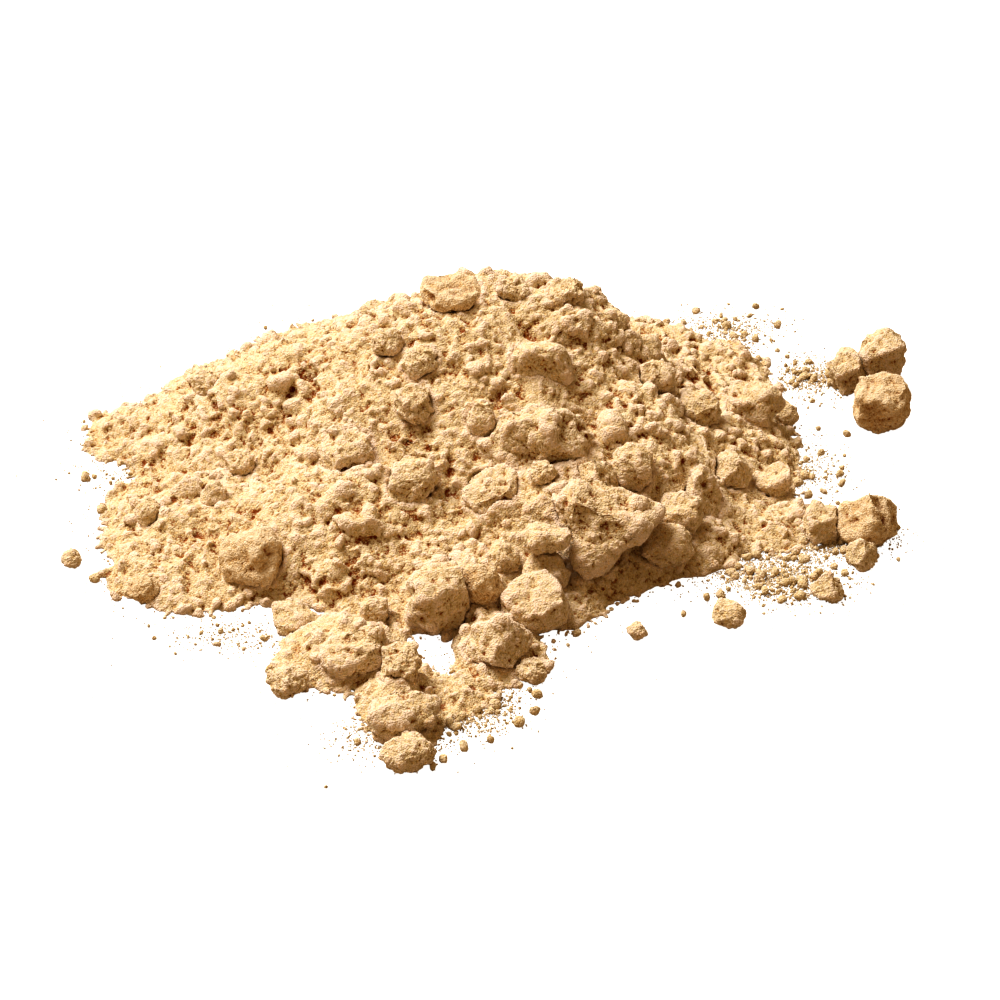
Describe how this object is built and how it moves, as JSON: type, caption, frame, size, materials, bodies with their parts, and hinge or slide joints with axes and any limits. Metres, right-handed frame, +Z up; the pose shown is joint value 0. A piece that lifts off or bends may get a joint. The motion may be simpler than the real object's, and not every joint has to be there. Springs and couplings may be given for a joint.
{
  "type": "heap of ground ginger powder",
  "caption": "Low spilled heap of ground ginger powder, a dry spice, with caked lumps bedded in its slopes and loose lumps on the surface beside it; rests on its flat underside.",
  "frame": {"origin": "on the surface the heap rests on, under the middle of the heap", "axes": "+Z up; +X across the heap towards the detached lumps; -Y towards the narrow tongue of spilled powder"},
  "size_m": [0.1285, 0.1219, 0.0266],
  "materials": {
    "powder": "loose fine powder, fully matte, pale warm tan",
    "caked_powder": "caked powder lump, fully matte, grainy, warm tan",
    "dusty_caked_powder": "caked powder lump with a greyer dusty top, fully matte"
  },
  "bodies": {
    "root": {"barrel_right": "caked_powder", "crest_flat_cap": "dusty_caked_powder", "crest_knob_behind": "caked_powder", "crest_knob_middle": "caked_powder", "crest_knob_right": "caked_powder", "crumb_front": "caked_powder", "crumb_left": "caked_powder", "crumb_middle": "caked_powder", "crumb_right": "caked_powder", "far_lower": "dusty_caked_powder", "far_right": "dusty_caked_powder", "far_right_nub": "caked_powder", "far_right_tail": "caked_powder", "far_upper": "caked_powder", "far_upper_knob": "caked_powder", "front_block": "caked_powder", "front_boulder": "caked_powder", "front_cap": "caked_powder", "front_finger": "caked_powder", "front_left_lump": "caked_powder", "front_nub_left": "dusty_caked_powder", "front_nub_upper": "caked_powder", "front_right_lump": "caked_powder", "front_stub": "caked_powder", "left_edge_nub": "caked_powder", "left_front_pebble": "dusty_caked_powder", "left_nub_back": "caked_powder", "left_nub_upper": "caked_powder", "left_pebble": "caked_powder", "left_round": "dusty_caked_powder", "powder_heap": "powder", "right_flat_slab": "caked_powder", "right_lump_edge": "caked_powder", "right_lump_low": "caked_powder", "right_lump_middle": "caked_powder", "right_lump_outer": "caked_powder", "right_lump_upper": "caked_powder", "right_nub": "caked_powder", "round_front": "caked_powder", "slope_boulder": "caked_powder", "slope_dome": "caked_powder", "slope_finger": "caked_powder", "slope_knob_left": "caked_powder", "slope_knob_middle": "caked_powder", "slope_knob_upper": "caked_powder", "slope_lump_centre": "caked_powder", "slope_lump_left": "caked_powder", "slope_lump_low": "caked_powder", "slope_slab": "caked_powder", "tongue_left_lump": "caked_powder", "tongue_lump_front": "caked_powder", "tongue_lump_right": "caked_powder", "tongue_nub": "caked_powder", "tongue_stub": "caked_powder", "tongue_tip_lump": "caked_powder", "tongue_wedge": "caked_powder", "upright_right": "caked_powder", "wedge_right": "caked_powder"}
  },
  "joints": []
}
